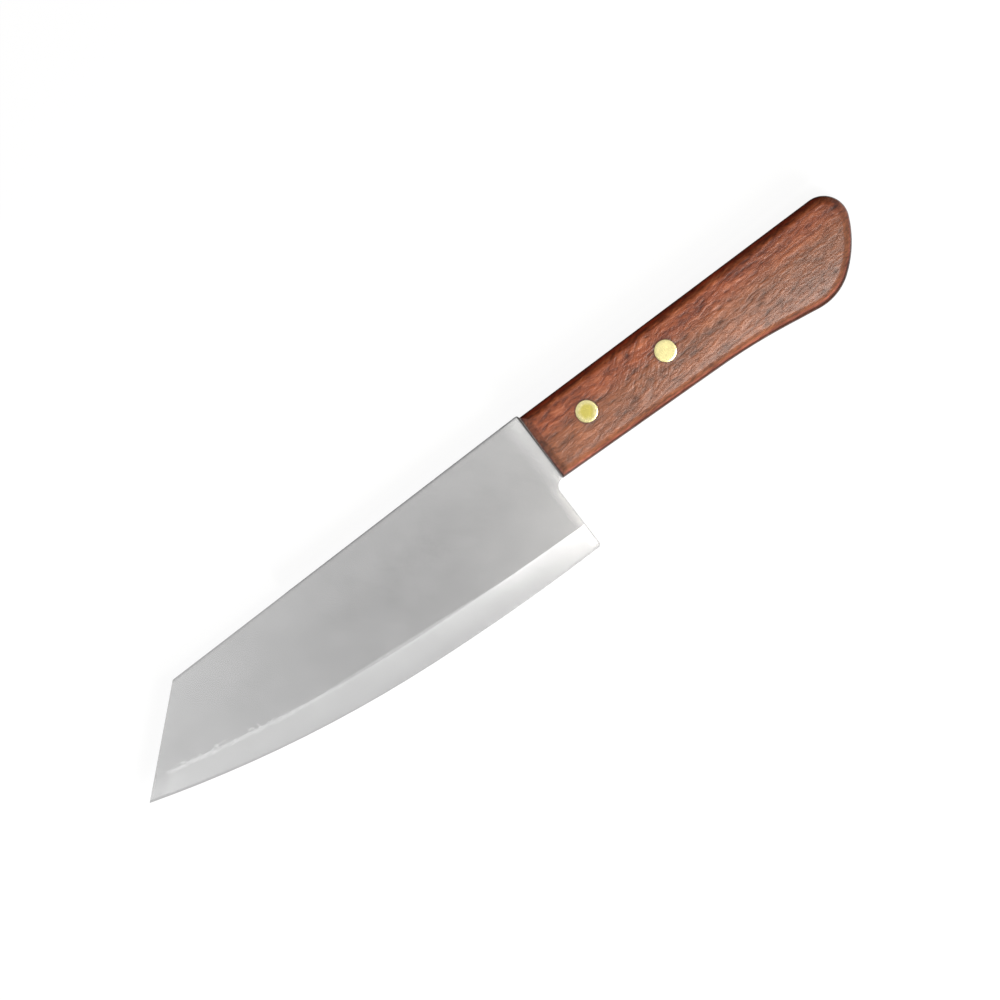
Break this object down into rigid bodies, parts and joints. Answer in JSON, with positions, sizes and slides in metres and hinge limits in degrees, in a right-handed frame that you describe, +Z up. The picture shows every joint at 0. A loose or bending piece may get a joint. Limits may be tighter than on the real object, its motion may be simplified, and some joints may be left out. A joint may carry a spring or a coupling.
{
  "type": "kitchen knife",
  "caption": "Kitchen knife with a broad, flat-ground blade, a slanted front edge and a riveted wooden handle.",
  "frame": {"origin": "on the surface that the knife lies on, under the middle of its length and depth", "axes": "+X from the tip towards the butt, +Y from the cutting edge towards the spine, +Z up, out of the blade's left side"},
  "size_m": [0.2868, 0.0484, 0.016],
  "materials": {
    "blade_steel": "satin, finely brushed, with a brighter ground bevel",
    "handle_wood": "red-brown hardwood with fine dark pores, semi-gloss varnish",
    "rivet_brass": "sanded flush, satin"
  },
  "bodies": {
    "root": {"blade": "blade_steel", "handle": "handle_wood", "front_rivet_barrel": "rivet_brass", "front_rivet_post": "rivet_brass", "rear_rivet_barrel": "rivet_brass", "rear_rivet_post": "rivet_brass"}
  },
  "joints": []
}
